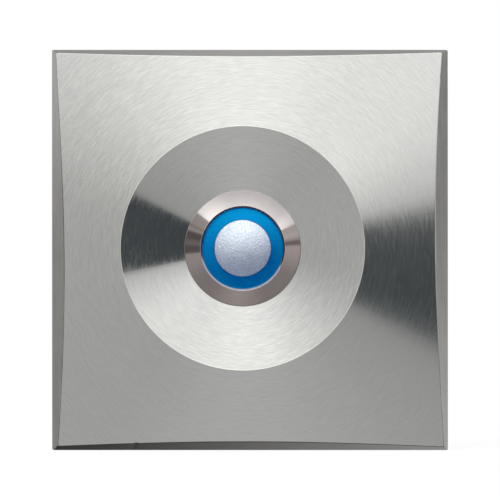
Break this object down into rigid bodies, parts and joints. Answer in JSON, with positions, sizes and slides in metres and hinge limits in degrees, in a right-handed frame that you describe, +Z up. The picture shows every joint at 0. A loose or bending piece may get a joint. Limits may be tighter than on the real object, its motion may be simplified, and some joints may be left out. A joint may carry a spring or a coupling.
{
  "type": "doorbell push button",
  "caption": "Square steel doorbell push with an off-centre turned dish, bevelled bezel, blue light ring and a domed silver cap that presses in and springs back.",
  "frame": {"origin": "where the switch's axis meets the wall plane, midway between the wall studs", "axes": "+Z up, +Y into the wall, the front faces -Y, +X right seen from the front"},
  "size_m": [0.0792, 0.0343, 0.0801],
  "materials": {
    "turned_steel": "turned in fine circles on the face, brushed on the walls",
    "plated_steel": "zinc plated",
    "nickel_bezel": "finely turned, nickel plated",
    "black_rubber": "matt",
    "blue_lens": "translucent, matt",
    "silver_cap": "metallic silver lacquer",
    "white_moulding": "moulded",
    "contact_strip": "rolled copper alloy",
    "contact_silver": "plain",
    "spring_steel": "drawn wire",
    "circuit_board": "solder mask",
    "led_body": "clear resin on a white body",
    "resistor_body": "ceramic chip with tinned ends",
    "black_moulding": "moulded",
    "tinned_brass": "tinned"
  },
  "bodies": {
    "plate": {"front_plate": "turned_steel", "wall_studs": "plated_steel", "switch_housing": "nickel_bezel", "bezel_seal": "black_rubber", "lock_washer": "plated_steel", "hex_nut": "nickel_bezel", "return_spring": "spring_steel", "inner_frame": "white_moulding", "led_board": "circuit_board", "leds": "led_body", "series_resistor": "resistor_body", "terminal_base": "black_moulding", "contact_terminal_left": "tinned_brass", "contact_terminal_right": "tinned_brass", "fixed_contacts": "contact_silver", "led_terminal_lower": "tinned_brass", "led_terminal_upper": "tinned_brass"},
    "button": {"light_ring": "blue_lens", "button_cap": "silver_cap", "plunger_seal": "black_rubber", "contact_carrier": "white_moulding", "contact_bridge": "contact_strip", "bridge_contacts": "contact_silver", "bridge_clip": "spring_steel"}
  },
  "joints": [
    {"name": "button_press", "type": "slide", "parent": "plate", "child": "button", "axis": [0, 1, 0], "range_m": [0, 0.0018], "stiffness_N_per_m": 900, "springref_m": -0.002, "deforming": ["return_spring"]}
  ]
}
